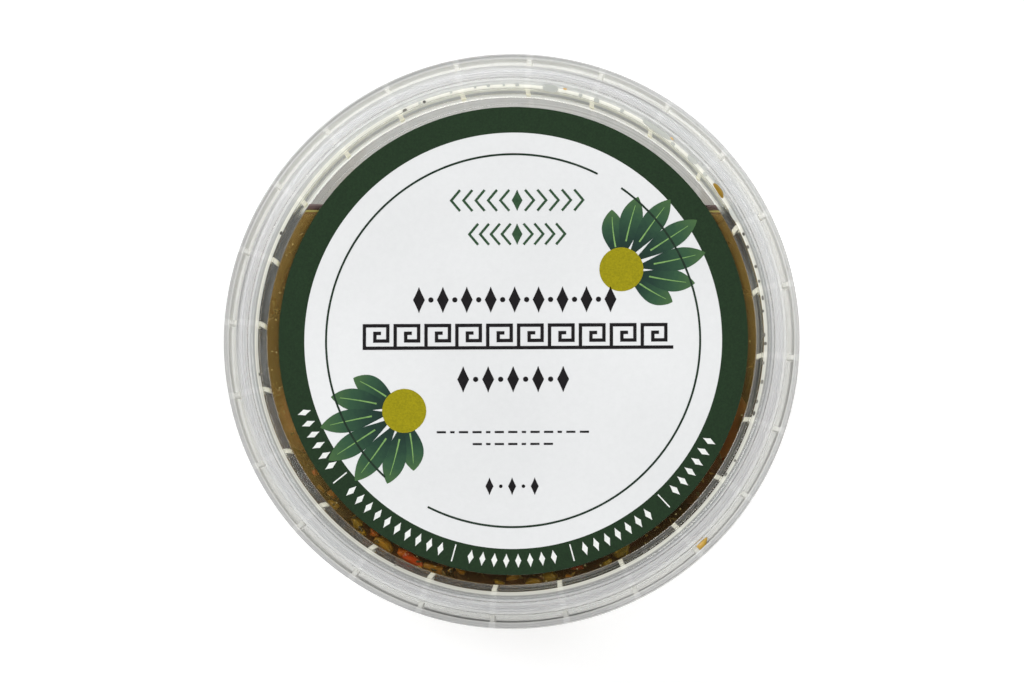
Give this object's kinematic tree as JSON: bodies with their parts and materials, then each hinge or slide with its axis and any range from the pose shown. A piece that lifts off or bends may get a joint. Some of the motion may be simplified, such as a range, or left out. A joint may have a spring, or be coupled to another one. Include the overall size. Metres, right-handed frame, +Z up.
{
  "type": "tub of olives",
  "caption": "Shut round clear plastic tub with a pressed-on lid and a round paper label, filled with marinated pitted olives in golden oil.",
  "frame": {"origin": "on the table, under the middle of the tub", "axes": "+Z is up through the lid, the way that the label faces; +Y is the side that was uppermost while the tub stood on its edge, where the contents leave the space free"},
  "size_m": [0.12, 0.12, 0.057],
  "materials": {
    "tub_plastic": "clear, slightly milky moulded polypropylene",
    "lid_plastic": "clear, slightly milky moulded polypropylene",
    "label_paper": "semi-gloss coated paper, printed dark green and white",
    "olive_skin": "glossy skin of oiled dark olives"
  },
  "bodies": {
    "root": {"tub": "tub_plastic", "lid": "lid_plastic", "label": "label_paper", "olives": "olive_skin"}
  },
  "joints": []
}
